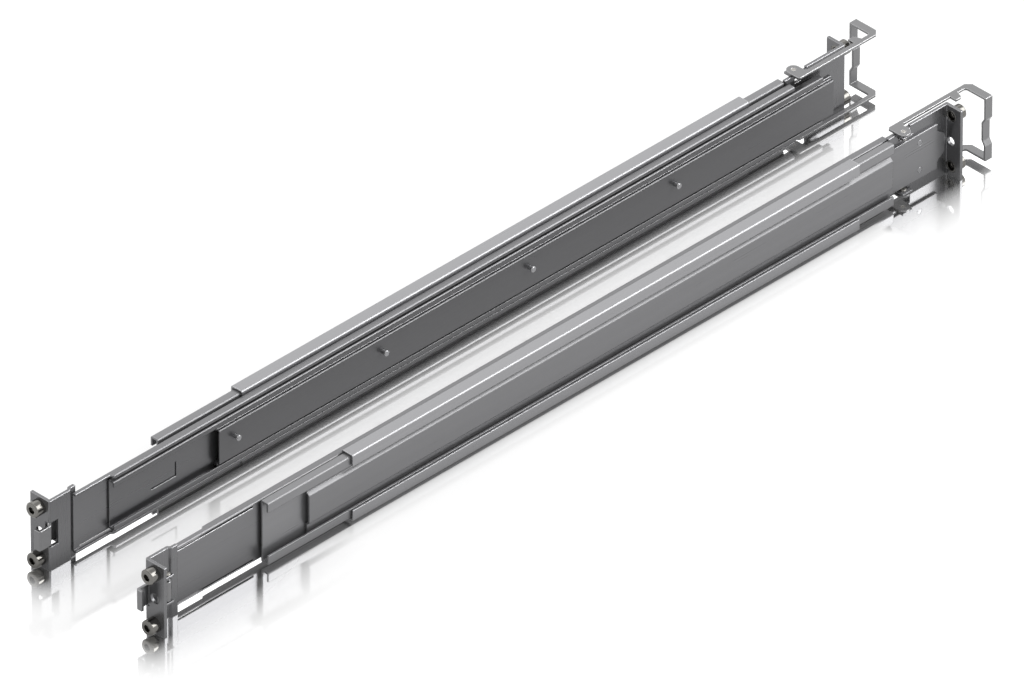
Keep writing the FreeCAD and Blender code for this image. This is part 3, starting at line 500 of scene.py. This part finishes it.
class SERVERRAIL_OT_latches(bpy.types.Operator):
    """Light latches, their pivots, and springs wound from real wire"""

    bl_idname = "serverrail.latches"
    bl_label = "Latches"

    def execute(self, context):
        chosen = settings_of(context)
        light = shade_of(chosen.latch_zinc, 1.0)
        latch = steel("latch_zinc", light, roughness=0.3, grain="z", lines=0.08)
        dress(["front_latch", "rear_latch"], latch)
        pale = shade_of(chosen.nickel, PIVOT_SHADE)
        pivots = steel("pivot_nickel", pale, roughness=0.2, lines=0.03)
        dress(["front_latch_pivot", "rear_latch_pivots"], pivots)
        wire_steel = steel("spring_wire", SPRING_GREY, roughness=0.3, lines=0.02)
        for side in SIDES:
            for node, body in (
                ("front_latch_spring", "fixed_members"),
                ("rear_latch_spring", f"{side}_rear_section"),
            ):
                self.wind(f"{side}_{node}", body, chosen.coil_turns, wire_steel)
        return {"FINISHED"}

    def wind(self, node, body, turns, material):
        """Real wire in place of one spring's closed CAD shape, riding on that spring's body."""
        low, high = (np.array(corner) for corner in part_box(node))
        wire = (high[2] - low[2]) / (turns + 1)
        points, faces = wire_along(coil_line(low, high, wire, turns), wire / 2.0)
        mesh = bpy.data.meshes.new(node + "_coil")
        mesh.from_pydata(points.tolist(), [], faces)
        mesh.polygons.foreach_set("use_smooth", np.ones(len(faces), dtype=bool))
        mesh.materials.append(material)
        piece = bpy.data.objects.new(node + "_coil", mesh)
        bpy.context.collection.objects.link(piece)
        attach(piece, body)
        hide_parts(node)


class SERVERRAIL_OT_stage(bpy.types.Operator):
    """White floor with a mirror image, white surroundings, two soft lamps and the camera"""

    bl_idname = "serverrail.stage"
    bl_label = "Stage"

    def execute(self, context):
        chosen = settings_of(context)
        self.floor(chosen.floor_size, chosen.mirror_fade)
        self.surroundings(context.scene)
        self.lamp("top_lamp", TOP_LAMP_PLACE, TOP_LAMP_SIZE, chosen.top_power)
        self.lamp("bend_lamp", BEND_LAMP_PLACE, BEND_LAMP_SIZE, chosen.bend_power)
        self.camera(context.scene, chosen)
        context.scene.view_settings.view_transform = "Standard"
        return {"FINISHED"}

    def floor(self, side, fade):
        """A square floor, white to the camera, with a mirror image close to the rails."""
        mesh = bpy.data.meshes.new("studio_floor")
        half = side / 2.0
        corners = [(-half, -half, 0.0), (half, -half, 0.0), (half, half, 0.0), (-half, half, 0.0)]
        mesh.from_pydata(corners, [], [(0, 1, 2, 3)])
        mesh.materials.append(self.floor_white(fade))
        piece = bpy.data.objects.new("studio_floor", mesh)
        bpy.context.collection.objects.link(piece)

    def floor_white(self, fade):
        """White with a mirror image whose share falls with the distance d to the nearer rail.

        The share is MIRROR_NEAR * (1 - d / fade) ** 2 + MIRROR_FAR, where d is measured to the
        rectangle that a rail covers. Outside the sleeves most of it is taken away. A painted shadow
        makes the white greyer beside the channels. Only the camera sees the mirror image, so the
        steel sees white.
        """
        material = bpy.data.materials.new("studio_white")
        material.use_nodes = True
        board = Board(material.node_tree)
        place = board.node("ShaderNodeTexCoord").outputs["Object"]
        parts = board.node("ShaderNodeSeparateXYZ", None, {"Vector": place})
        out = Value(board, parts.outputs["X"]).size()
        back = Value(board, parts.outputs["Y"])
        rail_low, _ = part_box("right_outer_rail")
        _, bracket_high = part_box("right_front_bracket")
        _, sleeve_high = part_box("right_sleeve")
        guide_low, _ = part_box("right_guide_channel")
        beyond = back.past(-cad_high[1], cad_high[1])
        away = self.distance(out.past(rail_low[0], bracket_high[0]), beyond)
        shadow_distance = self.distance(out.past(rail_low[0], sleeve_high[0]), beyond)
        outside = out.ramp(sleeve_high[0] + SLEEVE_STEP, SLEEVE_STEP)
        front = back.ramp(guide_low[1] - SLEEVE_LEAD, FRONT_RISE)
        rear = 1.0 - back.ramp(sleeve_high[1] + SLEEVE_LEAD - REAR_DROP, REAR_DROP)
        seen = Value(board, board.node("ShaderNodeLightPath").outputs["Is Camera Ray"])
        share = (self.closeness(away, fade) * MIRROR_NEAR + MIRROR_FAR) * seen
        share = share * (1.0 - outside * front * rear * SLEEVE_LOSS)
        # Painted shadow: close to the channels the white mixes towards a greyer, dimmer white
        whites = {
            0: self.closeness(shadow_distance, PAINTED_SHADOW_WIDTH),
            1: self.white(board, PLAIN_GREY, PLAIN_GLOW),
            2: self.white(board, PAINTED_SHADOW_GREY, PAINTED_SHADOW_GLOW),
        }
        lit = board.node("ShaderNodeMixShader", None, whites)
        mirror_inputs = {"Color": WHITE, "Roughness": MIRROR_ROUGHNESS}
        mirror = board.node("ShaderNodeBsdfGlossy", None, mirror_inputs)
        mix_inputs = {0: share, 1: lit.outputs[0], 2: mirror.outputs[0]}
        mixed = board.node("ShaderNodeMixShader", None, mix_inputs)
        board.node("ShaderNodeOutputMaterial", None, {"Surface": mixed.outputs[0]})
        return material

    def distance(self, first, second):
        """The length of a step whose two parts are given."""
        return (first * first + second * second) ** 0.5

    def closeness(self, away, reach):
        """(1 - away / reach) squared, and 0 past the reach."""
        return (1.0 - away * (1.0 / reach)).at_least(0.0) ** 2.0

    def white(self, board, grey, glow):
        """A dull grey with a light of its own, which together show as white or a little below."""
        dull = board.node("ShaderNodeBsdfDiffuse", None, {"Color": (grey, grey, grey, 1.0)})
        shine = board.node("ShaderNodeEmission", None, {"Color": WHITE, "Strength": glow})
        both = {0: dull.outputs[0], 1: shine.outputs[0]}
        return board.node("ShaderNodeAddShader", None, both).outputs[0]

    def surroundings(self, scene):
        """One level for what the camera, gloss and glass see, and one for plain light."""
        world = bpy.data.worlds.new("studio_world")
        world.use_nodes = True
        board = Board(world.node_tree)
        path = board.node("ShaderNodeLightPath")
        camera = Value(board, path.outputs["Is Camera Ray"])
        gloss = Value(board, path.outputs["Is Glossy Ray"])
        glass = Value(board, path.outputs["Is Transmission Ray"])
        seen = camera.at_least(gloss).at_least(glass)
        level = seen * SEEN_LEVEL + (1.0 - seen) * LIGHT_LEVEL
        shown = board.node("ShaderNodeBackground", None, {"Color": WHITE, "Strength": level})
        board.node("ShaderNodeOutputWorld", None, {"Surface": shown.outputs[0]})
        scene.world = world

    def lamp(self, name, place, size, power):
        """A square soft lamp that looks at the rails' middle."""
        data = bpy.data.lights.new(name, "AREA")
        data.shape = "SQUARE"
        data.size = size
        data.energy = power
        lamp = bpy.data.objects.new(name, data)
        lamp.location = place
        lamp.rotation_mode = "QUATERNION"
        lamp.rotation_quaternion = (-Vector(place)).to_track_quat("-Z", "Y")
        bpy.context.collection.objects.link(lamp)

    def camera(self, scene, chosen):
        """A very long lens, so that the view is close to a parallel one."""
        data = bpy.data.cameras.new("studio_camera")
        data.lens = chosen.lens
        a, e = chosen.azimuth, chosen.elevation
        back = Vector((math.sin(a) * math.cos(e), -math.cos(a) * math.cos(e), math.sin(e)))
        distance = chosen.view_width * chosen.lens / data.sensor_width
        data.clip_start = distance * CLIP_NEAR
        data.clip_end = distance * CLIP_FAR
        camera = bpy.data.objects.new("studio_camera", data)
        camera.location = Vector(chosen.aim) + back * distance
        camera.rotation_mode = "QUATERNION"
        camera.rotation_quaternion = (-back).to_track_quat("-Z", "Y")
        bpy.context.collection.objects.link(camera)
        scene.camera = camera


class SERVERRAIL_PT_sidebar(bpy.types.Panel):
    """Lists the dressing steps and their settings"""

    bl_idname = "SERVERRAIL_PT_sidebar"
    bl_label = "Server Rails"
    bl_space_type = "VIEW_3D"
    bl_region_type = "UI"
    bl_category = "Server Rails"

    def draw(self, context):
        for step in STEPS:
            self.layout.operator(step.bl_idname)
        chosen = settings_of(context)
        for name in ServerRailSettings.__annotations__:
            self.layout.prop(chosen, name)


STEPS = (
    SERVERRAIL_OT_channels,
    SERVERRAIL_OT_slides,
    SERVERRAIL_OT_brackets,
    SERVERRAIL_OT_latches,
    SERVERRAIL_OT_stage,
)
CLASSES = (ServerRailSettings, *STEPS, SERVERRAIL_PT_sidebar)


def register():
    for each in CLASSES:
        bpy.utils.register_class(each)
    bpy.types.Scene.server_rails = PointerProperty(type=ServerRailSettings)


def unregister():
    del bpy.types.Scene.server_rails
    for each in reversed(CLASSES):
        bpy.utils.unregister_class(each)


def main():
    register()
    bpy.ops.serverrail.channels()
    bpy.ops.serverrail.slides()
    bpy.ops.serverrail.brackets()
    bpy.ops.serverrail.latches()
    bpy.ops.serverrail.stage()


if __name__ == "__main__":
    main()
